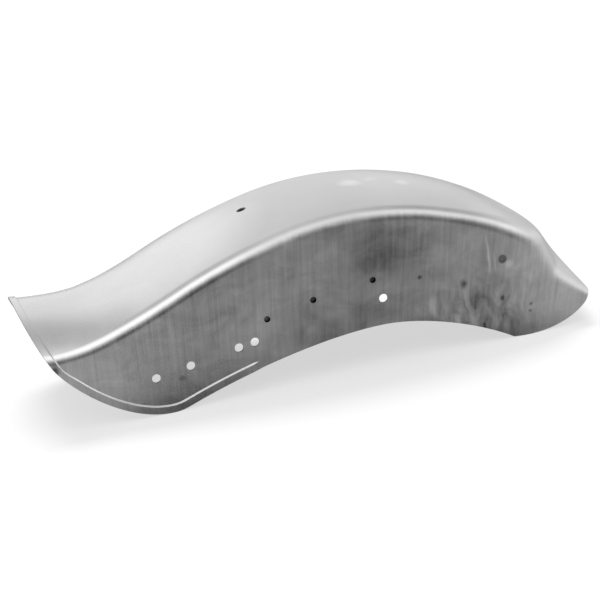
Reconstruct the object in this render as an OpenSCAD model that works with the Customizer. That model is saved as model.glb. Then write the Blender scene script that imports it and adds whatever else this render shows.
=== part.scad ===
// Rear fender pressed from one sheet of bare steel.
// The tail is at -X, the front at +X, the open side faces down and the heels rest on z = 0.

/* [Section] */
// width over the two side walls
body_w = 180; // [150:1:210]
// thickness of the sheet
sheet_t = 1.6; // [1.2:0.1:2.4]
// radius between side wall and crown along the middle
shoulder_r = 16; // [10:1:24]
// height of the crown above the two shoulders
crown_rise = 10; // [5:0.5:16]

/* [Arch] */
// height of the wall top above the floor at the highest point
apex_h = 151; // [135:1:175]
// radius of the main arc along the wall top
arc_r = 314; // [290:1:350]
// angle of the main arc in front of the highest point
front_turn = 33.5; // [31:0.5:37]
// angle of the main arc behind the highest point
rear_turn = 12; // [9:0.5:15]
// radius of the flatter arc that follows to the rear
ease_r = 590; // [450:5:800]
// angle of the flatter arc
ease_turn = 11.5; // [9:0.1:14]

/* [Tail] */
// radius of the first, slow hollow of the tail
lead_r = 750; // [500:10:1000]
// angle of the slow hollow
lead_turn = 6.3; // [4:0.1:8]
// radius of the flip at the very end
flip_r = 189; // [160:1:230]
// angle of the flip
flip_turn = 19; // [14:0.2:22]
// shoulder radius at the tail end
tail_shoulder_r = 16; // [10:1:24]
// height of the crown above the shoulders at the tail end
tail_rise = 28.4; // [20:0.2:34]
// extra length of the tail end on the middle line
tail_bow = 1.5; // [-6:0.5:8]
// how far the tail end leans back for each unit of height above the wall
tail_lean = 0.55; // [0.3:0.05:0.8]
// width of the raised bead along the tail edge
bead_w = 8; // [5:0.5:11]
// how much wider the bead is over the crown
bead_flare = 1.25; // [1:0.05:1.5]
// height of the raised bead
bead_h = 1.6; // [0.8:0.1:2.4]

/* [Front] */
// radius of the outward bend that starts the step
step_r = 34; // [26:1:44]
// angle of the outward bend
step_turn = 28.5; // [20:0.5:34]
// straight fall between the two bends
step_fall = 29; // [16:0.5:34]
// radius of the bend that kicks the tongue forward
kick_r = 34; // [26:1:44]
// angle of the kick
kick_turn = 27; // [20:1:36]
// straight length of the tongue at the walls
nose_len = 42.5; // [34:0.5:52]
// how far the step bows forward in the middle
step_bow = 28; // [14:1:34]
// share of the step that is lost in the middle of the crown
step_fade = 0.45; // [0.2:0.05:0.7]
// share of the kick that is lost in the middle of the crown
kick_fade = 1.15; // [0.8:0.05:1.3]
// extra length of the tongue in the middle of the crown
nose_bow = -16; // [-22:1:-6]
// shoulder radius just behind the step
front_shoulder_r = 17; // [12:1:24]
// height of the crown above the shoulders just behind the step
front_rise = 4; // [2:0.5:10]
// shoulder radius on the tongue
nose_shoulder_r = 7; // [5:0.5:12]
// height of the crown above the shoulders on the tongue
nose_rise = 12; // [6:0.5:15]

/* [Lower edge] */
// distance from the highest point back to the heel
heel_back = 204; // [180:1:225]
// distance from the highest point forward to the top of the lower arch
arch_fwd = 20; // [5:1:40]
// height of the lower arch above the floor
arch_h = 43.5; // [30:0.5:60]
// distance from the highest point forward to the toe corner
toe_fwd = 159.5; // [150:1:170]
// length of the bead along the lower edge in front of the heel
bead_run = 104; // [60:1:120]
// length over which the bead fades out there
bead_fade = 25; // [10:1:40]

/* [Holes] */
// diameter of the open bolt holes
bolt_d = 9; // [6:0.1:11]
// rear pair of bolt holes: places along the wall top, counted forward from the highest point
rear_pair_at = [-243, -209.5]; // [-255:0.5:-190]
// rear pair of bolt holes: depth below the wall top
rear_pair_drop = [51.5, 59]; // [46:0.5:62]
// stay pair of bolt holes: places along the wall top
stay_pair_at = [-158.5, -139.5]; // [-175:0.5:-125]
// stay pair of bolt holes: depth below the wall top
stay_pair_drop = [71, 74.5]; // [66:0.5:80]
// place of the single bolt hole along the wall top
lone_at = 34.5; // [25:0.5:50]
// depth of the single bolt hole below the wall top
lone_drop = 78.5; // [70:0.5:84]
// diameter of the blind strut holes
strut_d = 6.5; // [5:0.1:8]
// places of the strut holes along the wall top
strut_at = [-115.5, -58.5, 21]; // [-120:0.5:30]
// depth of the strut holes below the wall top
strut_drop = [59.5, 62, 58]; // [50:0.5:64]
// depth of the closed cups behind the strut holes
cup_depth = 9; // [6:0.5:14]
// thickness of the wall of a cup
cup_wall = 2.2; // [1.6:0.1:3]
// diameter of the hole above the toe
toe_hole_d = 8; // [5:0.1:10]
// place of the hole above the toe along the wall top
toe_hole_at = 175.5; // [165:0.5:180]
// depth of the hole above the toe below the wall top
toe_hole_drop = 20; // [16:0.5:30]
// diameter of the wire hole in the crown
wire_d = 10; // [6:0.1:14]
// place of the wire hole along the wall top
wire_at = -82.5; // [-120:0.5:-60]

/* [Display] */
// part to show

/* [Hidden] */
steel = [0.62, 0.62, 0.63];

function arc_len(r, turn) = r * turn * PI / 180;
function chord(d, turn) = abs(turn) < 0.001 ? d : 360 * d / (turn * PI) * sin(turn / 2);
function ease(t) = t <= 0 ? 0 : t >= 1 ? 1 : t * t * (3 - 2 * t);
function mix(a, b, t) = a + (b - a) * t;

// runs of the wall top line as [length, turn], counted from the highest point;
// the last run to the rear grows by the length b, and a is 0 at a wall and 1 on the middle line
function rear_runs(b) = [
    [arc_len(arc_r, rear_turn), -rear_turn],
    [arc_len(ease_r, ease_turn), -ease_turn],
    [arc_len(lead_r, lead_turn), lead_turn],
    [arc_len(flip_r, flip_turn) + b, flip_turn + b / arc_len(flip_r, 1)]
];
function front_runs(a) =
    let(b = step_bow * a,
        more = b / arc_len(arc_r, 1),
        bend = step_turn * (1 - step_fade * a),
        kick = kick_turn * (1 - kick_fade * a))
    [
        [arc_len(arc_r, front_turn) + b, -front_turn - more],
        [arc_len(step_r, bend), -bend],
        [step_fall * (1 - step_fade * a), 0],
        [arc_len(kick_r, kick_turn), kick],
        [nose_len + nose_bow * a, 0]
    ];

// point and heading at the fraction f of run k
function walk(runs, k, f, i = 0, x = 0, z = 0, h = 0) =
    let(d = i == k ? f : 1,
        turn = runs[i][1] * d,
        c = chord(runs[i][0] * d, turn),
        nx = x + c * cos(h + turn / 2),
        nz = z + c * sin(h + turn / 2))
    i == k ? [nx, nz, h + turn] : walk(runs, k, f, i + 1, nx, nz, h + turn);
function rear_top(k, f, b = 0) =
    let(p = walk(rear_runs(b), k, f)) [-p[0], p[1] + apex_h, -p[2]];
function front_top(k, f, a = 0) =
    let(p = walk(front_runs(a), k, f)) [p[0], p[1] + apex_h, p[2]];

// section of the sheet at the fraction f of run k: shoulder radius and rise of the crown
tail_form = [tail_shoulder_r, tail_rise];
mid_form = [shoulder_r, crown_rise];
front_form = [front_shoulder_r, front_rise];
nose_form = [nose_shoulder_r, nose_rise];
function rear_form(k, f) = k < 2 ? mid_form : mix(mid_form, tail_form, ease((k - 2 + f) / 2));
function front_form_at(k, f) = k == 0
    ? mix(mid_form, front_form, ease(2 * f - 1))
    : mix(front_form, nose_form, ease((k - 1 + f) / 3));

// section row j: y, height, the two parts of the normal, and 0 at a wall to 1 on the middle line
shoulder_n = 6;
crown_n = 12;
rows = 2 * shoulder_n + crown_n + 1;
function section(j, r, rise) =
    let(c = body_w / 2 - r,
        lean = 2 * atan(rise / c),
        big = (c + r * sin(lean)) / sin(lean),
        half = r * (90 - lean) + big * lean,
        side = 2 * j < rows ? -1 : 1,
        k = side < 0 ? j : rows - 1 - j)
    k <= shoulder_n
        ? let(a = (90 - lean) * k / shoulder_n)
            [side * (c + r * cos(a)), r * sin(a), side * cos(a), sin(a), inward(r * a / half)]
        : let(a = lean * (1 - 2 * (k - shoulder_n) / crown_n),
              h = r * cos(lean) + big * (cos(a) - cos(lean)))
            [side * big * sin(a), h, side * sin(a), cos(a), inward(1 - big * a / half)];
function inward(t) = 1 - (1 - t) * (1 - t);

// columns of the skin from the tail end to the front end as [side, run, fraction]
bead_slope = 2.4;
bead_in = [0, bead_w - bead_slope / 2, bead_w + bead_slope / 2];
flip_len = rear_runs(0)[3][0];
rear_parts = [5, 8, 7, 8];
front_parts = [16, 5, 4, 6, 5];
cuts = concat(
    [for (m = [0:2]) [-1, 3, m]],
    [for (k = [3:-1:0]) for (n = [rear_parts[k] - (k == 3 ? 1 : 0):-1:1]) [-1, k, n / rear_parts[k]]],
    [[1, 0, 0]],
    [for (k = [0:4]) for (n = [1:front_parts[k]]) [1, k, n / front_parts[k]]]);
cols = len(cuts);

// one point of the skin, pushed out by the distance d along its normal
function skin(i, j, d) =
    let(cut = cuts[i],
        rear = cut[0] < 0,
        f = i < 3 ? 1 : cut[2],
        form = rear ? rear_form(cut[1], f) : front_form_at(cut[1], f),
        q = section(j, form[0], form[1]),
        b = rear ? tail_lean * q[1] + tail_bow * q[4] : q[4],
        wide = mix(1, bead_flare, q[4]) / (flip_len + b),
        g = i < 3 ? 1 - bead_in[i] * wide
            : rear && cut[1] == 3 ? f * (1 - bead_in[2] * wide) : f,
        p = rear ? rear_top(cut[1], g, b) : front_top(cut[1], g, b),
        up = q[1] + d * q[3])
    [p[0] - up * sin(p[2]), q[0] + d * q[2], p[1] + up * cos(p[2])];
function bead_at(i) = i < 2 ? bead_h : 0;

// lower outline of the wall, drawn from the tail corner to the front end
function bez(a, b, c, d, t) =
    pow(1 - t, 3) * a + 3 * pow(1 - t, 2) * t * b + 3 * (1 - t) * t * t * c + t * t * t * d;
function dir(a) = [cos(a), sin(a)];
function curve(a, turn_a, b, turn_b, pull_a, pull_b, n) =
    let(l = norm(b - a))
    [for (k = [1:n]) bez(a, a + dir(turn_a) * l * pull_a, b - dir(turn_b) * l * pull_b, b, k / n)];
function flat_point(p) = [p[0], p[1]];
tail_corner = flat_point(rear_top(3, 1));
nose_corner = flat_point(front_top(4, 1));
heel = [-heel_back, -0.5];
heel_end = [-heel_back + 26, 5.5];
arch_top = [arch_fwd, arch_h];
toe = [toe_fwd, 0.65];
tail_edge = curve(tail_corner, -62, heel, 0, 0.17, 0.38, 22);
heel_edge = curve(heel, 0, heel_end, 19, 0.4, 0.4, 6);
arch_rear = curve(heel_end, 19, arch_top, 0, 0.3, 0.3, 20);
arch_front = curve(arch_top, 0, toe, -32, 0.3, 0.3, 14);
toe_edge = curve(toe, -7.5, nose_corner, 67, 0.58, 0.1, 16);
outline = concat([tail_corner], tail_edge, heel_edge, arch_rear, arch_front, toe_edge);

function path_len(pts, k) = k == 0 ? 0 : norm(pts[k] - pts[k - 1]) + path_len(pts, k - 1);
bead_end = path_len(outline, len(tail_edge)) + bead_run;
bead_k = len([for (k = [1:len(outline) - 1]) if (path_len(outline, k) <= bead_end) k]);
edge_k = len(outline) - 2 - bead_k;

// bead on the wall: the offset turns from along the wall top to square to the edge
function edge_dir(k) = let(v = outline[k + 1] - outline[k - 1]) atan2(v[1], v[0]) + 90;
function bead_dir(k) = mix(rear_top(3, 1)[2], edge_dir(k), ease(path_len(outline, k) / 40));
function bead_point(k, m, side, d) =
    let(p = outline[k] + dir(bead_dir(k)) * bead_in[m],
        h = m < 2 ? bead_h * ease((path_len(outline, bead_k) - path_len(outline, k)) / bead_fade) : 0)
    [p[0], side * (body_w / 2 + h + d), p[1]];

function skin_points(d) = concat(
    [for (i = [0:cols - 1]) for (j = [0:rows - 1]) skin(i, j, d + bead_at(i))],
    [for (side = [-1, 1]) each concat(
        [for (k = [1:bead_k]) for (m = [0:2]) bead_point(k, m, side, d)],
        [for (k = [1:edge_k]) let(p = outline[bead_k + k]) [p[0], side * (body_w / 2 + d), p[1]]])]);
grid_size = cols * rows;
side_size = 3 * bead_k + edge_k;
skin_size = grid_size + 2 * side_size;

// numbers of the points in the list
function at_grid(i, j) = i * rows + j;
function at_bead(far, k, m) = k == 0
    ? at_grid(m, far * (rows - 1))
    : grid_size + far * side_size + 3 * (k - 1) + m;
function at_edge(far, k) = k == 0
    ? at_bead(far, bead_k, 0)
    : k == edge_k + 1
        ? at_grid(cols - 1, far * (rows - 1))
        : grid_size + far * side_size + 3 * bead_k + k - 1;
function turned(far, f) = far == 0 ? f : [for (k = [len(f) - 1:-1:0]) f[k]];
function quad(a, b, c, d) = [[a, b, c], [a, c, d]];

grid_faces = [
    for (i = [0:cols - 2]) for (j = [0:rows - 2])
        each quad(at_grid(i, j), at_grid(i, j + 1), at_grid(i + 1, j + 1), at_grid(i + 1, j))
];
bead_faces = [
    for (far = [0, 1]) for (k = [0:bead_k - 1]) for (m = [0, 1])
        for (f = quad(at_bead(far, k, m), at_bead(far, k, m + 1),
                      at_bead(far, k + 1, m + 1), at_bead(far, k + 1, m)))
            turned(far, f)
];
// flat part of a wall: triangles between the points along its top and those along its low side
top_ids = [for (i = [2:cols - 1]) i];
top_x = [for (i = top_ids) skin(i, 0, 0)[0]];
low_x = concat(
    [for (k = [1:bead_k]) bead_point(k, 2, 1, 0)[0]],
    [bead_point(bead_k, 1, 1, 0)[0]],
    [for (k = [bead_k:bead_k + edge_k]) outline[k][0]]);
function low_ids(far) = concat(
    [for (k = [1:bead_k]) at_bead(far, k, 2)],
    [at_bead(far, bead_k, 1)],
    [for (k = [0:edge_k]) at_edge(far, k)]);
function below(i) = i < 0
    ? 0
    : i == len(top_x) - 2
        ? len(low_x) - 1
        : let(mid = (top_x[i] + top_x[i + 1]) / 2) len([for (x = low_x) if (x < mid) x]);
wall_faces = [
    for (far = [0, 1])
        let(low = low_ids(far), row = far * (rows - 1))
        for (i = [0:len(top_x) - 2])
            let(first = below(i - 1), last = below(i), a = at_grid(top_ids[i], row))
            for (f = concat(
                [for (k = [first:1:last - 1]) [a, low[k + 1], low[k]]],
                [[a, at_grid(top_ids[i + 1], row), low[last]]]))
                turned(far, f)
];
outer_faces = concat(grid_faces, bead_faces, wall_faces);
inner_faces = [for (f = outer_faces) [for (k = [len(f) - 1:-1:0]) f[k] + skin_size]];
rim = concat(
    [for (k = [0:bead_k]) at_bead(0, k, 0)],
    [for (k = [1:edge_k]) at_edge(0, k)],
    [for (j = [0:rows - 1]) at_grid(cols - 1, j)],
    [for (k = [edge_k:-1:1]) at_edge(1, k)],
    [for (k = [bead_k:-1:1]) at_bead(1, k, 0)],
    [for (j = [rows - 1:-1:1]) at_grid(0, j)]);
rim_faces = [
    for (k = [0:len(rim) - 1])
        let(a = rim[k], b = rim[(k + 1) % len(rim)])
            each quad(a, b, b + skin_size, a + skin_size)
];

shell_points = concat(skin_points(0), skin_points(-sheet_t));
xs = [for (p = shell_points) p[0]];
zs = [for (p = shell_points) p[2]];
mid_x = (max(xs) + min(xs)) / 2;
low_z = min(zs);

// point on the wall at the distance s along the wall top line and the depth drop below it
function run_at(runs, s, k = 0) =
    s <= runs[k][0] || k == len(runs) - 1 ? [k, s / runs[k][0]] : run_at(runs, s - runs[k][0], k + 1);
function top_at(s) = s < 0
    ? let(r = run_at(rear_runs(0), -s)) rear_top(r[0], r[1])
    : let(r = run_at(front_runs(0), s)) front_top(r[0], r[1]);
function wall_at(s, drop) = let(p = top_at(s)) [p[0] + drop * sin(p[2]), 0, p[1] - drop * cos(p[2])];

module across(s, drop, d, half_len, n) {
    translate(wall_at(s, drop))
    rotate([90, 0, 0])
    cylinder(d = d, h = 2 * half_len, center = true, $fn = n);
}

module cups() {
    inner = body_w / 2 - sheet_t / 2;
    for (k = [0:len(strut_at) - 1])
        for (side = [-1, 1])
            translate(wall_at(strut_at[k], strut_drop[k]))
            rotate([side * 90, 0, 0])
            translate([0, 0, inner - cup_depth])
            cylinder(d = strut_d + 2 * cup_wall, h = cup_depth, $fn = 24);
}

module open_holes() {
    past = body_w / 2 + 5;
    for (k = [0, 1]) {
        across(rear_pair_at[k], rear_pair_drop[k], bolt_d, past, 32);
        across(stay_pair_at[k], stay_pair_drop[k], bolt_d, past, 32);
    }
    across(lone_at, lone_drop, bolt_d, past, 32);
    across(toe_hole_at, toe_hole_drop, toe_hole_d, past, 32);
}

module blind_holes() {
    bottom = body_w / 2 - sheet_t / 2 - cup_depth + cup_wall;
    for (k = [0:len(strut_at) - 1])
        for (side = [-1, 1])
            translate(wall_at(strut_at[k], strut_drop[k]))
            rotate([side * 90, 0, 0])
            translate([0, 0, bottom])
            cylinder(d = strut_d, h = cup_depth + 5, $fn = 24);
}

module wire_hole() {
    p = top_at(wire_at);
    translate([p[0], 0, p[1]])
    rotate([0, -p[2], 0])
    cylinder(d = wire_d, h = 3 * (shoulder_r + crown_rise), $fn = 32);
}

module shell() {
    polyhedron(shell_points, concat(outer_faces, inner_faces, rim_faces), convexity = 6);
}

module fender() {
    color(steel)
    translate([-mid_x, 0, -low_z])
    difference() {
        union() {
            shell();
            cups();
        }
        open_holes();
        blind_holes();
        wire_hole();
    }
}

fender();
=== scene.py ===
import math

import bmesh
import bpy
import numpy as np
from mathutils import Matrix, Vector


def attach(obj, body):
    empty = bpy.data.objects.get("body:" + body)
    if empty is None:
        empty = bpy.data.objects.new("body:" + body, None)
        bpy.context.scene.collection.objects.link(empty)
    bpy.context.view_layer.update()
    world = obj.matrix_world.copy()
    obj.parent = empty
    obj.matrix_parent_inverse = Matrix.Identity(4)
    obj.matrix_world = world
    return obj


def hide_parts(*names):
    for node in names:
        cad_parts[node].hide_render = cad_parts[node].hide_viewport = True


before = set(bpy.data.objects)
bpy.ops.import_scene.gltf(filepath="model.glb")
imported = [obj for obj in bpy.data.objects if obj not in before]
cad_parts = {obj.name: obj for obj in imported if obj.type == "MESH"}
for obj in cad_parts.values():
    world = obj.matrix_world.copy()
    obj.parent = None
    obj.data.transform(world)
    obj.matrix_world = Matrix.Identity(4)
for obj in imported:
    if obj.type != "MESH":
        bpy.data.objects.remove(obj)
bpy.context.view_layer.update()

# Sizes of the pressed sheet, in millimetres and degrees, as in the part's source where nothing else is said
BODY_W, SHEET = 180.0, 1.6
# a form is a section's shoulder radius and the rise of its crown
MID_FORM, TAIL_FORM = (16.0, 10.0), (16.0, 28.4)
# these two are a little rounder than in the source
FRONT_FORM, NOSE_FORM = (20.0, 2.5), (11.0, 8.5)
# height of the top line's apex on the walls, and the runs of that line to the rear and to the front
APEX, ARC_R, FRONT_TURN, REAR_TURN = 151.0, 314.0, 33.5, 12.0
EASE_R, EASE_TURN, LEAD_R, LEAD_TURN = 590.0, 11.5, 750.0, 6.3
FLIP_R, FLIP_TURN, TAIL_BOW, TAIL_LEAN = 189.0, 19.0, 1.5, 0.55
STEP_R, STEP_TURN, STEP_FALL, KICK_R, KICK_TURN = 34.0, 28.5, 29.0, 34.0, 27.0
# the tongue is a little shorter than in the source, so that the finer facets stay inside its box
NOSE_LEN, STEP_BOW, STEP_FADE, KICK_FADE, NOSE_BOW = 41.6, 28.0, 0.45, 1.15, -16.0
# the raised bead: width, growth towards the middle, height, width of its slope, run past the heel, fade;
# the slope is steeper than in the source, and the end fades out in a shorter run
BEAD_W, BEAD_FLARE, BEAD_H, BEAD_SLOPE, BEAD_RUN, BEAD_FADE = 8.0, 1.25, 1.6, 1.6, 104.0, 14.0
# length of edge in which the bead turns from the tail's direction to square with the edge
BEAD_SETTLE = 40.0
HEEL_BACK, HEEL_Z, ARCH_FWD, ARCH_H, TOE_FWD, TOE_Z = 204.0, -0.5, 20.0, 43.5, 159.5, 0.65
HEEL_LEN, HEEL_RISE = 26.0, 5.5
# holes: place along the wall's top line from the apex, and drop below that line
REAR_PAIR = ((-243.0, 51.5), (-209.5, 59.0))
STAY_PAIR = ((-158.5, 71.0), (-139.5, 74.5))
LONE, TOE_HOLE, WIRE_AT = (34.5, 78.5), (175.5, 20.0), -82.5
STRUTS = ((-115.5, 59.5), (-58.5, 62.0), (21.0, 58.0))
BOLT_D, STRUT_D, TOE_D, WIRE_D = 9.0, 6.5, 8.0, 10.0
CUP_DEPTH, CUP_WALL = 9.0, 2.2
# how far a cutting tool stands out of the walls, and how far the wire hole's tool goes up through the crown
OVERCUT, WIRE_REACH = 5.0, 78.0

# Facets: rows over a shoulder and the crown, columns along each run, offsets on the bead, parts of its slope
SHOULDER_N, CROWN_N = 14, 56
ROWS = 2 * SHOULDER_N + CROWN_N + 1
REAR_PARTS = (18, 34, 26, 30)
FRONT_PARTS = (64, 20, 12, 20, 18)
BEAD_FLAT, SLOPE_PARTS = [0.0, 2.2, 4.4, 5.8], 6
SHARP_ANGLE = 32

# Finish of the steel, with painted reflection and shade on the walls
# painted reflection on the walls: lighter and darker tone from the tail at 0 to the nose at 1, 0.5 being the
# plain steel
PAINTED_REFLECTION_ZONES = [(0.0, 0.56), (0.12, 0.54), (0.22, 0.46), (0.30, 0.36), (0.40, 0.45), (0.50, 0.36),
         (0.58, 0.30), (0.66, 0.30), (0.76, 0.41), (0.82, 0.35), (0.88, 0.58), (0.95, 0.64)]
# roughness added along the same way
DULL = [(0.32, 0.0), (0.46, 0.19), (0.57, 0.19), (0.67, 0.05), (0.85, 0.05), (0.91, 0.24)]
# marks and painted shade on the near wall: x, z and half sizes in millimetres, change of tone, softness
# where it isn't full
MARKS_AND_SHADE = [(108.3, 86.1, 3.0, 3.0, -0.45, 0.9),     # five small dark marks, from the middle to the nose
         (153.6, 70.0, 5.0, 8.0, -0.42),
         (193.2, 46.0, 3.8, 4.2, -0.5),
         (223.5, 33.1, 2.4, 2.6, -0.5),
         (222.2, 26.0, 2.8, 2.8, -0.44),
         (198.2, 86.4, 5.6, 5.6, -0.4, 0.5),      # painted shade ringing the hole above the toe
         (204.5, 80.0, 7.5, 6.5, 0.34),           # light rub beside it
         (184.0, 94.0, 2.4, 28.0, 0.34),          # two upright scratches near it
         (190.0, 84.0, 1.6, 16.0, 0.16),
         (171.5, 21.0, 2.6, 6.0, -0.5),           # painted shade of a crease at the low edge
         (120.0, 52.0, 7.0, 18.0, 0.22),          # light stain
         (72.0, 118.0, 62.0, 38.0, -0.2),         # wide painted shade under the shoulder
         (9.0, 52.0, 20.0, 18.0, -0.16),          # dark patches in the middle
         (-22.0, 50.0, 12.0, 20.0, -0.12),
         (-148.0, 31.0, 6.0, 4.5, -0.22),         # small dark patch near the low edge
         (-272.0, 68.0, 7.0, 7.0, -0.55, 0.9)]    # dark corner of the tail
# share of a mark's radius that a fully soft one fades over
SOFTEST = 0.9
# light scuffs on the crown: the same, with y for z
SCUFFS = [(67.0, -17.0, 18.0, 15.0, 0.17), (121.0, -20.0, 13.0, 11.0, 0.12), (92.0, -8.0, 12.0, 8.0, 0.08)]
# wide area of swirling stains on the front of the walls, and how strong they are
STAINED, SWIRL_SHARE = (170.0, 32.0, 105.0, 62.0, 1.0), 1.25
# reflectance for a tone of 0, 0.5 and 1
STEEL = [(0.0, 0.16), (0.5, 0.56), (1.0, 0.96)]
# a normal's share along y at which the crown's finish ends and the wall's is full
WALL_FACING = [(0.72, 0.0), (0.97, 1.0)]
# point that the brush streaks fan out from, and the length that zones are spread over, in metres
FAN_X, FAN_Z, SPREAD = -0.245, -2.0, 0.586
# noise scales: streaks and fine scratches on the fan by angle, y and distance, the others in each metre
STREAK_SCALE, FINE_SCALE = (640, 6, 13), (2500, 20, 24)
BLOTCH_SCALE, SMUDGE_SCALE, SWIRL_SCALE, GRAIN_SCALE = 9.0, 26.0, 58.0, 900.0
# how far the outlines of marks waver along x, y and z, in metres
WAVE_X, WAVE_Y, WAVE_Z = 0.006, 0.03, 0.012
# what the noises add to the tone: on the walls alone, then all over, and to the roughness
WALL_PLAIN, WALL_STREAK, WALL_FINE, WALL_SMUDGE = 0.02, 0.36, 0.24, 0.50
ALL_BLOTCH, ALL_SMUDGE, ALL_GRAIN = 0.20, 0.10, 0.02
ROUGH_SMUDGE, ROUGH_STREAK = 0.14, 0.08
PLAIN_ROUGHNESS, SCRATCH_BUMP, SCRATCH_DEPTH = 0.28, 0.07, 0.0004
# the blind holes' painted shade inside: start under the hole's floor, step, margin round it, and light taken
# away
DARK_UNDER, DARK_STEP, DARK_MARGIN, DARKENING = 0.3, 0.1, 0.04, 0.97

# Room, floor and camera
# half the brightness of the room: degrees from the horizon in front, over the top, to the horizon behind
ROOM = [(-85, 0.16), (-14, 0.145), (0, 0.06), (18, 0.06), (36, 0.45), (46, 0.95), (68, 0.95), (84, 0.38),
        (108, 0.36), (136, 0.64), (180, 0.62)]
ROOM_STRENGTH = 2.0
# share of that brightness, and light added to it, from the tail's side at 0 to the nose's side at 1
TILT = [(0.0, 1.1), (0.35, 1.08), (0.52, 1.0), (0.68, 0.86), (0.85, 0.74), (1.0, 0.68)]
WASH = [(0.84, 0.0), (0.97, 0.42)]
# the floor for the camera, glow mixed with a surface that takes the shadow, and for all other rays a dimmer
# copy, painted shade that the steel mirrors
FLOOR_GLOW, GLOW_SHARE, FLOOR_GREY, DIM_FLOOR = 1.05, 0.6, 0.5, 0.2
FLOOR_CORNERS = [(-6, -6, 0), (6, -6, 0), (6, 8, 0), (-6, 8, 0)]
SUN_ENERGY, SUN_SPREAD, SUN_LEAN = 3.9, 30, -30
# the photograph's viewing direction in degrees, the point on the near wall in the middle of the picture, in
# millimetres, and the distance in metres
VIEW_TURN, VIEW_DOWN, VIEW_ROLL = 13.2277, 18.1886, 7.7409
AIM_X, AIM_Z, VIEW_DISTANCE = -60.2, 87.557, 2.4
LENS, SENSOR = 144, 36


# Curves of the wall's top line
def sine(degrees):
    return np.sin(np.radians(degrees))


def cosine(degrees):
    return np.cos(np.radians(degrees))


def arc_len(r, turn):
    return r * turn * math.pi / 180


def ease(t):
    t = np.clip(t, 0, 1)
    return t * t * (3 - 2 * t)


def chord(length, turn):
    """Straight distance between the ends of an arc of this length and turn."""
    small = np.abs(turn) < 1e-3
    safe = np.where(small, 1e-3, turn)
    return np.where(small, length, 360 * length / (safe * math.pi) * sine(safe / 2))


def walk(runs, k, f):
    """x, z and direction at the share f of run k, after all the runs before it."""
    x = z = direction = 0.0
    for i in range(k + 1):
        share = f if i == k else 1.0
        turn = runs[i][1] * share
        step = chord(runs[i][0] * share, turn)
        x = x + step * cosine(direction + turn / 2)
        z = z + step * sine(direction + turn / 2)
        direction = direction + turn
    return x, z, direction


FLIP_LEN = arc_len(FLIP_R, FLIP_TURN)


def rear_runs(bow):
    """Length and turn of each run to the rear; bow lengthens the flip."""
    return [(arc_len(ARC_R, REAR_TURN), -REAR_TURN),
            (arc_len(EASE_R, EASE_TURN), -EASE_TURN),
            (arc_len(LEAD_R, LEAD_TURN), LEAD_TURN),
            (FLIP_LEN + bow, FLIP_TURN + bow / arc_len(FLIP_R, 1))]


def front_runs(inward):
    """The same to the front; inward is 0 at a wall and 1 in the middle, where the step is softest."""
    straight = 0 * inward
    bow = STEP_BOW * inward
    bend = STEP_TURN * (1 - STEP_FADE * inward)
    kick = KICK_TURN * (1 - KICK_FADE * inward)
    return [(arc_len(ARC_R, FRONT_TURN) + bow, -FRONT_TURN - bow / arc_len(ARC_R, 1)),
            (arc_len(STEP_R, bend), -bend),
            (STEP_FALL * (1 - STEP_FADE * inward), straight),
            (arc_len(KICK_R, KICK_TURN), kick),
            (NOSE_LEN + NOSE_BOW * inward, straight)]


def rear_top(k, f, bow=0.0):
    x, z, direction = walk(rear_runs(bow), k, f)
    return -x, z + APEX, -direction


def front_top(k, f, inward=0.0):
    x, z, direction = walk(front_runs(inward), k, f)
    return x, z + APEX, direction


# Sections across the sheet
def section(r, rise):
    """Right wall to left: y, height, the normal's two parts, and 0 at a wall to 1 in the middle."""
    row = np.arange(ROWS)
    flat = BODY_W / 2 - r
    lean = 2 * math.degrees(math.atan(rise / flat))
    crown_r = (flat + r * sine(lean)) / sine(lean)
    half = r * (90 - lean) + crown_r * lean
    side = np.where(2 * row < ROWS, -1, 1)
    k = np.where(side < 0, row, ROWS - 1 - row)
    on_shoulder = k <= SHOULDER_N
    low_turn = (90 - lean) * k / SHOULDER_N
    high_turn = lean * (1 - 2 * (k - SHOULDER_N) / CROWN_N)
    y = np.where(on_shoulder, side * (flat + r * cosine(low_turn)), side * crown_r * sine(high_turn))
    high_up = r * cosine(lean) + crown_r * (cosine(high_turn) - cosine(lean))
    up = np.where(on_shoulder, r * sine(low_turn), high_up)
    gone = np.where(on_shoulder, r * low_turn / half, 1 - crown_r * high_turn / half)
    normal_y = np.where(on_shoulder, side * cosine(low_turn), side * sine(high_turn))
    normal_up = np.where(on_shoulder, sine(low_turn), cosine(high_turn))
    return y, up, normal_y, normal_up, 1 - (1 - gone) ** 2


def mixed(a, b, t):
    return a[0] + (b[0] - a[0]) * t, a[1] + (b[1] - a[1]) * t


# The bead: offsets from the edge and how high the sheet is raised there
SLOPE_FROM = BEAD_W - BEAD_SLOPE / 2
BEAD_IN = BEAD_FLAT + [SLOPE_FROM + BEAD_SLOPE * n / SLOPE_PARTS for n in range(SLOPE_PARTS + 1)]
BEAD_UP = [BEAD_H * (1 - float(ease((offset - SLOPE_FROM) / BEAD_SLOPE))) for offset in BEAD_IN]
BEAD_N = len(BEAD_IN)

# Cuts through the sheet from the tail to the nose: side of the apex, run, and share of the run; across the
# bead the last is the number of its offset
CUTS = [(-1, 3, m) for m in range(BEAD_N)]
for k in (3, 2, 1, 0):
    last = REAR_PARTS[k] - (1 if k == 3 else 0)
    CUTS += [(-1, k, n / REAR_PARTS[k]) for n in range(last, 0, -1)]
CUTS += [(1, 0, 0.0)]
for k in range(len(FRONT_PARTS)):
    CUTS += [(1, k, n / FRONT_PARTS[k]) for n in range(1, FRONT_PARTS[k] + 1)]
COLS = len(CUTS)


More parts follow.
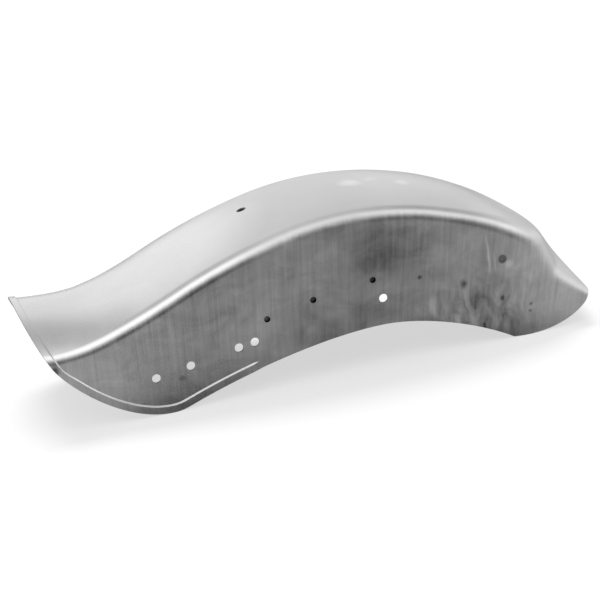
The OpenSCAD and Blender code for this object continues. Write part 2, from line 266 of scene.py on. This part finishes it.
def column(i, out):
    """Points across the sheet at cut i, on a surface that lies out millimetres over the sheet's skin."""
    side, k, f = CUTS[i]
    in_bead = i < BEAD_N
    if side < 0:
        t = 0.0 if k < 2 else float(ease((k - 2 + (1.0 if in_bead else f)) / 2))
        y, up, normal_y, normal_up, inward = section(*mixed(MID_FORM, TAIL_FORM, t))
        bow = TAIL_LEAN * up + TAIL_BOW * inward
        wide = (1 + (BEAD_FLARE - 1) * inward) / (FLIP_LEN + bow)
        if in_bead:
            share = 1 - BEAD_IN[i] * wide
        elif k == 3:
            share = f * (1 - BEAD_IN[-1] * wide)
        else:
            share = f + 0 * bow
        x, z, direction = rear_top(k, share, bow)
    else:
        if k == 0:
            form = mixed(MID_FORM, FRONT_FORM, float(ease(2 * f - 1)))
        else:
            form = mixed(FRONT_FORM, NOSE_FORM, float(ease((k - 1 + f) / 3)))
        y, up, normal_y, normal_up, inward = section(*form)
        x, z, direction = front_top(k, f, inward)
    if in_bead:
        out = out + BEAD_UP[i]
    up = up + out * normal_up
    return np.stack([x - up * sine(direction), y + out * normal_y, z + up * cosine(direction)], -1)


# Low edge of the walls, from the tail's corner to the nose's
def heading(degrees):
    return np.array([math.cos(math.radians(degrees)), math.sin(math.radians(degrees))])


def curve(a, b, turns, pulls, parts):
    """Points of a cubic curve from a to b, with its end directions in degrees and its handles' pulls."""
    b = np.array(b, float)
    size = np.hypot(*(b - a))
    p = a + heading(turns[0]) * size * pulls[0]
    q = b - heading(turns[1]) * size * pulls[1]
    points = []
    for k in range(1, parts + 1):
        t = k / parts
        points.append((1 - t) ** 3 * a + 3 * (1 - t) ** 2 * t * p + 3 * (1 - t) * t ** 2 * q + t ** 3 * b)
    return points


tail_corner = np.array(rear_top(3, 1.0)[:2], float)
nose_corner = np.array(front_top(4, 1.0)[:2], float)
# each curve's end, its first and last direction, its pulls and its parts
EDGE = [((-HEEL_BACK, HEEL_Z), (-62, 0), (0.17, 0.38), 70),
        ((-HEEL_BACK + HEEL_LEN, HEEL_RISE), (0, 19), (0.4, 0.4), 16),
        ((ARCH_FWD, ARCH_H), (19, 0), (0.3, 0.3), 60),
        ((TOE_FWD, TOE_Z), (0, -32), (0.3, 0.3), 44),
        (nose_corner, (-7.5, 67), (0.58, 0.1), 44)]
outline = [tail_corner]
for end, turns, pulls, parts in EDGE:
    outline += curve(outline[-1], end, turns, pulls, parts)
heel_k = EDGE[0][-1]
outline = np.array(outline)
gone = np.r_[0, np.cumsum(np.hypot(*np.diff(outline, axis=0).T))]
bead_k = int((gone[1:] <= gone[heel_k] + BEAD_RUN).sum())
edge_k = len(outline) - 2 - bead_k


def bead_point(k, m, side, out):
    """Point m across the bead at point k of the low edge, where the bead fades out towards its end."""
    way = outline[k + 1] - outline[k - 1]
    square = math.degrees(math.atan2(way[1], way[0])) + 90
    start = float(rear_top(3, 1.0)[2])
    degrees = start + (square - start) * float(ease(gone[k] / BEAD_SETTLE))
    x, z = outline[k] + heading(degrees) * BEAD_IN[m]
    raised = BEAD_UP[m] * float(ease((gone[bead_k] - gone[k]) / BEAD_FADE))
    return x, side * (BODY_W / 2 + raised + out), z


# Points and faces of the sheet, both skins in the same order
def skin(out):
    points = [column(i, out) for i in range(COLS)]
    bare_edge = outline[bead_k + 1:bead_k + edge_k + 1]
    for side in (-1, 1):
        points.append([bead_point(k, m, side, out) for k in range(1, bead_k + 1) for m in range(BEAD_N)])
        points.append([(x, side * (BODY_W / 2 + out), z) for x, z in bare_edge])
    return np.concatenate(points)


GRID = COLS * ROWS
SIDE = BEAD_N * bead_k + edge_k
SKIN = GRID + 2 * SIDE


def at_grid(i, j):
    return i * ROWS + j


def at_bead(far, k, m):
    return at_grid(m, far * (ROWS - 1)) if k == 0 else GRID + far * SIDE + BEAD_N * (k - 1) + m


def at_edge(far, k):
    if k == 0:
        return at_bead(far, bead_k, 0)
    if k == edge_k + 1:
        return at_grid(COLS - 1, far * (ROWS - 1))
    return GRID + far * SIDE + BEAD_N * bead_k + k - 1


def turned(far, face):
    return face[::-1] if far else face


faces = []
for i in range(COLS - 1):
    for j in range(ROWS - 1):
        faces.append([at_grid(i, j), at_grid(i, j + 1), at_grid(i + 1, j + 1), at_grid(i + 1, j)])
for far in (0, 1):
    for k in range(bead_k):
        for m in range(BEAD_N - 1):
            faces.append(turned(far, [at_bead(far, k, m), at_bead(far, k, m + 1),
                                      at_bead(far, k + 1, m + 1), at_bead(far, k + 1, m)]))
    wall = [at_grid(i, far * (ROWS - 1)) for i in range(BEAD_N - 1, COLS)]
    wall += [at_edge(far, k) for k in range(edge_k, -1, -1)]
    wall += [at_bead(far, bead_k, m) for m in range(1, BEAD_N - 1)]
    wall += [at_bead(far, k, BEAD_N - 1) for k in range(bead_k, 0, -1)]
    faces.append(turned(far, wall))
inner = [[v + SKIN for v in face[::-1]] for face in faces]
rim = [at_bead(0, k, 0) for k in range(bead_k + 1)] + [at_edge(0, k) for k in range(1, edge_k + 1)]
rim += [at_grid(COLS - 1, j) for j in range(ROWS)]
rim += [at_edge(1, k) for k in range(edge_k, 0, -1)] + [at_bead(1, k, 0) for k in range(bead_k, 0, -1)]
rim += [at_grid(0, j) for j in range(ROWS - 1, 0, -1)]
rim_faces = [[a, b, b + SKIN, a + SKIN] for a, b in zip(rim, rim[1:] + rim[:1])]
sheet_points = np.concatenate([skin(0.0), skin(-SHEET)])
# the part's own frame has the sheet's middle along x at 0 and its lowest point on the floor
MID_X = (sheet_points[:, 0].max() + sheet_points[:, 0].min()) / 2
LOW_Z = sheet_points[:, 2].min()
sheet_points = (sheet_points - np.array([MID_X, 0, LOW_Z])) / 1000
sheet_faces = [face[::-1] for face in faces + inner + rim_faces]


# Objects
def linked(name, data):
    obj = bpy.data.objects.new(name, data)
    bpy.context.scene.collection.objects.link(obj)
    return obj


def mesh_object(name, points, polygons):
    mesh = bpy.data.meshes.new(name)
    mesh.from_pydata([tuple(point) for point in points], [], polygons)
    mesh.update()
    return linked(name, mesh)


def tool_cylinder(name, d, start, end, segments=64):
    """Cylinder of diameter d between two points, all in millimetres of the part's own frame."""
    a = Vector(start) / 1000
    b = Vector(end) / 1000
    bm = bmesh.new()
    bmesh.ops.create_cone(bm, cap_ends=True, segments=segments, radius1=d / 2000, radius2=d / 2000,
                          depth=(b - a).length)
    turn = Vector((0, 0, 1)).rotation_difference(b - a).to_matrix().to_4x4()
    bm.transform(Matrix.Translation((a + b) / 2) @ turn)
    mesh = bpy.data.meshes.new(name)
    bm.to_mesh(mesh)
    bm.free()
    return linked(name, mesh)


def run_at(runs, s):
    """The run that the distance s falls in, and its share of that run."""
    for k, (size, _) in enumerate(runs):
        if s <= size or k == len(runs) - 1:
            return k, s / size
        s -= size


def top_at(s):
    if s < 0:
        return [float(v) for v in rear_top(*run_at(rear_runs(0.0), -s))]
    return [float(v) for v in front_top(*run_at(front_runs(0.0), s))]


def wall_at(s, drop):
    """x and z of a place on the wall, square below the top line, in the part's own frame."""
    x, z, direction = top_at(s)
    slope = math.radians(direction)
    return x + drop * math.sin(slope) - MID_X, z - drop * math.cos(slope) - LOW_Z


def boolean(obj, tools, operation):
    """Joins the tools to the object or cuts them from it, and removes them."""
    for tool in tools:
        mod = obj.modifiers.new("cut", "BOOLEAN")
        mod.operation = operation
        mod.solver = "EXACT"
        mod.object = tool
    deps = bpy.context.evaluated_depsgraph_get()
    mesh = bpy.data.meshes.new_from_object(obj.evaluated_get(deps))
    obj.modifiers.clear()
    obj.data = mesh
    for tool in tools:
        bpy.data.objects.remove(tool)


fender = mesh_object("fender_sheet", sheet_points, sheet_faces)
wall_mid = BODY_W / 2 - SHEET / 2
blind_floor = wall_mid - CUP_DEPTH + CUP_WALL
outside = BODY_W / 2 + OVERCUT
strut_places = [wall_at(s, drop) for s, drop in STRUTS]
cups = []
for n, (x, z) in enumerate(strut_places):
    for side in (-1, 1):
        cups.append(tool_cylinder(f"cup{n}{side}", STRUT_D + 2 * CUP_WALL,
                                  (x, side * (wall_mid - CUP_DEPTH), z), (x, side * wall_mid, z)))
boolean(fender, cups, "UNION")
open_holes = [(s, drop, BOLT_D) for s, drop in REAR_PAIR + STAY_PAIR + (LONE,)] + [TOE_HOLE + (TOE_D,)]
cuts = []
for n, (s, drop, d) in enumerate(open_holes):
    x, z = wall_at(s, drop)
    cuts.append(tool_cylinder(f"hole{n}", d, (x, -outside, z), (x, outside, z)))
for n, (x, z) in enumerate(strut_places):
    for side in (-1, 1):
        cuts.append(tool_cylinder(f"blind{n}{side}", STRUT_D,
                                  (x, side * blind_floor, z), (x, side * outside, z)))
x, z, direction = top_at(WIRE_AT)
x = x - MID_X
z = z - LOW_Z
slope = math.radians(direction)
cuts.append(tool_cylinder("wire", WIRE_D, (x, 0, z),
                          (x - WIRE_REACH * math.sin(slope), 0, z + WIRE_REACH * math.cos(slope))))
boolean(fender, cuts, "DIFFERENCE")
fender.data.shade_smooth()
fender.data.set_sharp_from_angle(angle=math.radians(SHARP_ANGLE))
weigh = fender.modifiers.new("weigh", "WEIGHTED_NORMAL")
weigh.mode = "FACE_AREA"
weigh.weight = 100
weigh.keep_sharp = True


# Helpers for node trees
def ramp(tree, fac, stops, interpolation="LINEAR"):
    n = tree.nodes.new("ShaderNodeValToRGB")
    n.color_ramp.interpolation = interpolation
    elements = n.color_ramp.elements
    while len(elements) < len(stops):
        elements.new(0.5)
    for element, (position, value) in zip(elements, stops):
        element.position = position
        element.color = (value, value, value, 1)
    tree.links.new(fac, n.inputs["Fac"])
    return n.outputs["Color"]


def maths(tree, op, a, b=0.0, clamp=False):
    n = tree.nodes.new("ShaderNodeMath")
    n.operation = op
    n.use_clamp = clamp
    for socket, value in ((n.inputs[0], a), (n.inputs[1], b)):
        if isinstance(value, (int, float)):
            socket.default_value = value
        else:
            tree.links.new(value, socket)
    return n.outputs[0]


def blended(tree, kind, a, b):
    """Two colours multiplied or added in full."""
    n = tree.nodes.new("ShaderNodeMix")
    n.data_type = "RGBA"
    n.blend_type = kind
    n.inputs[0].default_value = 1.0
    tree.links.new(a, n.inputs[6])
    tree.links.new(b, n.inputs[7])
    return n.outputs[2]


def parted(tree, vector):
    n = tree.nodes.new("ShaderNodeSeparateXYZ")
    tree.links.new(vector, n.inputs[0])
    return n.outputs


def mixed_shader(tree, fac, a, b):
    n = tree.nodes.new("ShaderNodeMixShader")
    if isinstance(fac, float):
        n.inputs[0].default_value = fac
    else:
        tree.links.new(fac, n.inputs[0])
    tree.links.new(a, n.inputs[1])
    tree.links.new(b, n.inputs[2])
    return n.outputs[0]


def camera_ray(tree):
    return tree.nodes.new("ShaderNodeLightPath").outputs["Is Camera Ray"]


# Bare steel
steel = bpy.data.materials.new("raw_steel")
steel.use_nodes = True
steel_tree = steel.node_tree
bsdf = steel_tree.nodes["Principled BSDF"]


def total(*values):
    out = values[0]
    for value in values[1:]:
        out = maths(steel_tree, "ADD", out, value)
    return out


def times(a, b):
    return maths(steel_tree, "MULTIPLY", a, b)


def minus(a, b):
    return maths(steel_tree, "SUBTRACT", a, b)


def distance(a, b):
    return maths(steel_tree, "SQRT", total(times(a, a), times(b, b)))


def around(value, amount):
    """A noise value spread evenly round zero."""
    return times(minus(value, 0.5), amount)


def noise(vector, scale, detail, rough, distort=0.0):
    n = steel_tree.nodes.new("ShaderNodeTexNoise")
    n.inputs["Scale"].default_value = scale
    n.inputs["Detail"].default_value = detail
    n.inputs["Roughness"].default_value = rough
    n.inputs["Distortion"].default_value = distort
    steel_tree.links.new(vector, n.inputs["Vector"])
    return n.outputs["Fac"]


def mapped(vector, scale, location=(0, 0, 0)):
    n = steel_tree.nodes.new("ShaderNodeMapping")
    n.inputs["Scale"].default_value = scale
    n.inputs["Location"].default_value = location
    steel_tree.links.new(vector, n.inputs["Vector"])
    return n.outputs["Vector"]


place = steel_tree.nodes.new("ShaderNodeTexCoord").outputs["Object"]
at_x, at_y, at_z = parted(steel_tree, place)
# polar coordinates round a point far below, so that the brush streaks on the walls fan out a little
fan_x = minus(at_x, FAN_X)
fan_z = minus(at_z, FAN_Z)
polar = steel_tree.nodes.new("ShaderNodeCombineXYZ")
steel_tree.links.new(maths(steel_tree, "ARCTAN2", fan_x, fan_z), polar.inputs["X"])
steel_tree.links.new(at_y, polar.inputs["Y"])
steel_tree.links.new(distance(fan_x, fan_z), polar.inputs["Z"])
fan = polar.outputs[0]
# share of wall: 1 on the flat walls, 0 on the crown
facing = parted(steel_tree, steel_tree.nodes.new("ShaderNodeTexCoord").outputs["Normal"])
wallness = ramp(steel_tree, maths(steel_tree, "ABSOLUTE", facing["Y"]), WALL_FACING)

streak = noise(mapped(fan, STREAK_SCALE), 1.0, detail=5.0, rough=0.6)
fine = noise(mapped(fan, FINE_SCALE), 1.0, detail=4.0, rough=0.6)
blotch = noise(place, BLOTCH_SCALE, detail=4.0, rough=0.55, distort=0.4)
smudge = noise(mapped(place, (1, 1, 1.6), (3, 1, 2)), SMUDGE_SCALE, detail=5.0, rough=0.62, distort=0.8)
swirl = noise(mapped(place, (1, 1, 0.5), (7, 2, 5)), SWIRL_SCALE, detail=2.5, rough=0.5, distort=1.6)
grain = noise(place, GRAIN_SCALE, detail=3.0, rough=0.7)
wavy_x = total(at_x, around(smudge, WAVE_X))
wavy_y = total(at_y, around(smudge, WAVE_Y))
wavy_z = total(at_z, around(blotch, WAVE_Z))


def spot(x, z, half_x, half_z, amount, soft=1.0, across=wavy_z):
    """Soft round mark, placed in millimetres: amount is added to the tone in its middle."""
    off_x = times(minus(wavy_x, x / 1000), 1000 / half_x)
    off_z = times(minus(across, z / 1000), 1000 / half_z)
    fade = [(1 - soft * SOFTEST, 1.0), (1.0, 0.0)]
    return times(ramp(steel_tree, distance(off_x, off_z), fade, "EASE"), amount)


along = total(times(at_x, 1 / SPREAD), 0.5)
# painted reflection: the walls' lighter and darker zones along their length
painted_reflection_zones = minus(ramp(steel_tree, along, PAINTED_REFLECTION_ZONES, "EASE"), 0.5)
near_wall = maths(steel_tree, "LESS_THAN", at_y, 0.0)
# real marks and painted shade, on the near wall only
marks_and_shade = times(total(*[spot(*mark) for mark in MARKS_AND_SHADE]), near_wall)
stains = times(spot(*STAINED), around(swirl, SWIRL_SHARE))
wall_tone = total(WALL_PLAIN, around(streak, WALL_STREAK), around(fine, WALL_FINE),
                  around(smudge, WALL_SMUDGE), painted_reflection_zones, marks_and_shade, stains)
scuffs = total(*[spot(*mark, across=wavy_y) for mark in SCUFFS])
tone = total(times(wall_tone, wallness), times(scuffs, minus(1.0, wallness)),
             around(blotch, ALL_BLOTCH), around(smudge, ALL_SMUDGE), around(grain, ALL_GRAIN), 0.5)
base = ramp(steel_tree, tone, STEEL)
# painted shade inside the blind holes keeps them dark
dark_from = (blind_floor - DARK_UNDER) / 1000
deep = ramp(steel_tree, maths(steel_tree, "ABSOLUTE", at_y),
            [(dark_from, 0.0), (dark_from + DARK_STEP / 1000, 1.0)])
dark_r = (STRUT_D / 2 + DARK_MARGIN) / 1000
inside = [maths(steel_tree, "LESS_THAN", distance(minus(at_x, x / 1000), minus(at_z, z / 1000)), dark_r)
          for x, z in strut_places]
dark = maths(steel_tree, "MULTIPLY", total(*inside), deep, clamp=True)
colour = blended(steel_tree, "MULTIPLY", base, minus(1.0, times(dark, DARKENING)))
steel_tree.links.new(colour, bsdf.inputs["Base Color"])
bsdf.inputs["Metallic"].default_value = 1.0
rough = total(PLAIN_ROUGHNESS, ramp(steel_tree, along, DULL, "EASE"), around(smudge, ROUGH_SMUDGE),
              times(around(streak, ROUGH_STREAK), wallness))
steel_tree.links.new(rough, bsdf.inputs["Roughness"])
bump = steel_tree.nodes.new("ShaderNodeBump")
bump.inputs["Strength"].default_value = SCRATCH_BUMP
bump.inputs["Distance"].default_value = SCRATCH_DEPTH
steel_tree.links.new(times(fine, wallness), bump.inputs["Height"])
steel_tree.links.new(bump.outputs["Normal"], bsdf.inputs["Normal"])
fender.data.materials.clear()
fender.data.materials.append(steel)

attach(fender, "root")
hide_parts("fender")

# Floor
floor = mesh_object("floor", FLOOR_CORNERS, [[0, 1, 2, 3]])
pale = bpy.data.materials.new("pale_floor")
pale.use_nodes = True
floor_tree = pale.node_tree

plain = floor_tree.nodes["Principled BSDF"]
plain.inputs["Base Color"].default_value = (FLOOR_GREY, FLOOR_GREY, FLOOR_GREY, 1)
plain.inputs["Roughness"].default_value = 0.9
plain.inputs["Specular IOR Level"].default_value = 0.0
shine = floor_tree.nodes.new("ShaderNodeEmission")
shine.inputs["Color"].default_value = (1, 1, 1, 1)
shine.inputs["Strength"].default_value = FLOOR_GLOW
dim = floor_tree.nodes.new("ShaderNodeBsdfDiffuse")
dim.inputs["Color"].default_value = (DIM_FLOOR, DIM_FLOOR, DIM_FLOOR, 1)
seen = mixed_shader(floor_tree, GLOW_SHARE, plain.outputs[0], shine.outputs[0])
floor_look = mixed_shader(floor_tree, camera_ray(floor_tree), dim.outputs[0], seen)
floor_tree.links.new(floor_look, floor_tree.nodes["Material Output"].inputs["Surface"])
floor.data.materials.append(pale)

# Soft light from behind that lays the fender's shadow on the floor in front; the steel doesn't mirror it
lamp = bpy.data.lights.new("rear_light", "SUN")
lamp.energy = SUN_ENERGY
lamp.angle = math.radians(SUN_SPREAD)
sun = linked("rear_light", lamp)
sun.rotation_euler = (math.radians(SUN_LEAN), 0, 0)
sun.visible_glossy = False

# The room as the steel sees it, white for the camera
world = bpy.data.worlds.new("studio")
bpy.context.scene.world = world
world.use_nodes = True
world_tree = world.node_tree
way = parted(world_tree, world_tree.nodes.new("ShaderNodeTexCoord").outputs["Generated"])
# 0 is straight down, 0.25 the horizon in front, 0.5 overhead, 0.75 the horizon behind
climb = maths(world_tree, "ARCTAN2", way["Z"], maths(world_tree, "MULTIPLY", way["Y"], -1.0))
share = maths(world_tree, "ADD", maths(world_tree, "MULTIPLY", climb, 0.5 / math.pi), 0.25)
sky = ramp(world_tree, share, [(degrees / 360 + 0.25, value) for degrees, value in ROOM])
sideways = maths(world_tree, "ADD", maths(world_tree, "MULTIPLY", way["X"], 0.5), 0.5)
tilted = blended(world_tree, "MULTIPLY", sky, ramp(world_tree, sideways, TILT))
back = world_tree.nodes["Background"]
room_light = blended(world_tree, "ADD", tilted, ramp(world_tree, sideways, WASH, "EASE"))
world_tree.links.new(room_light, back.inputs["Color"])
back.inputs["Strength"].default_value = ROOM_STRENGTH
white = world_tree.nodes.new("ShaderNodeBackground")
white.inputs["Color"].default_value = (1, 1, 1, 1)
world_look = mixed_shader(world_tree, camera_ray(world_tree), back.outputs[0], white.outputs[0])
world_tree.links.new(world_look, world_tree.nodes["World Output"].inputs["Surface"])

# Camera: the photograph's own direction, with its slight roll
turn, down, roll = (math.radians(a) for a in (VIEW_TURN, VIEW_DOWN, VIEW_ROLL))
forward = Vector((math.sin(turn) * math.cos(down), math.cos(turn) * math.cos(down), -math.sin(down)))
level = Vector((math.cos(turn), -math.sin(turn), 0))
upright = level.cross(forward)
right = level * math.cos(roll) - upright * math.sin(roll)
top = level * math.sin(roll) + upright * math.cos(roll)
aim = Vector((AIM_X - MID_X, -BODY_W / 2, AIM_Z - LOW_Z)) / 1000
cam = linked("camera", bpy.data.cameras.new("camera"))
stand = Matrix((right, top, -forward)).transposed()
cam.matrix_world = Matrix.Translation(aim - forward * VIEW_DISTANCE) @ stand.to_4x4()
cam.data.lens = LENS
cam.data.sensor_width = SENSOR
bpy.context.scene.camera = cam
bpy.context.scene.view_settings.view_transform = "Standard"
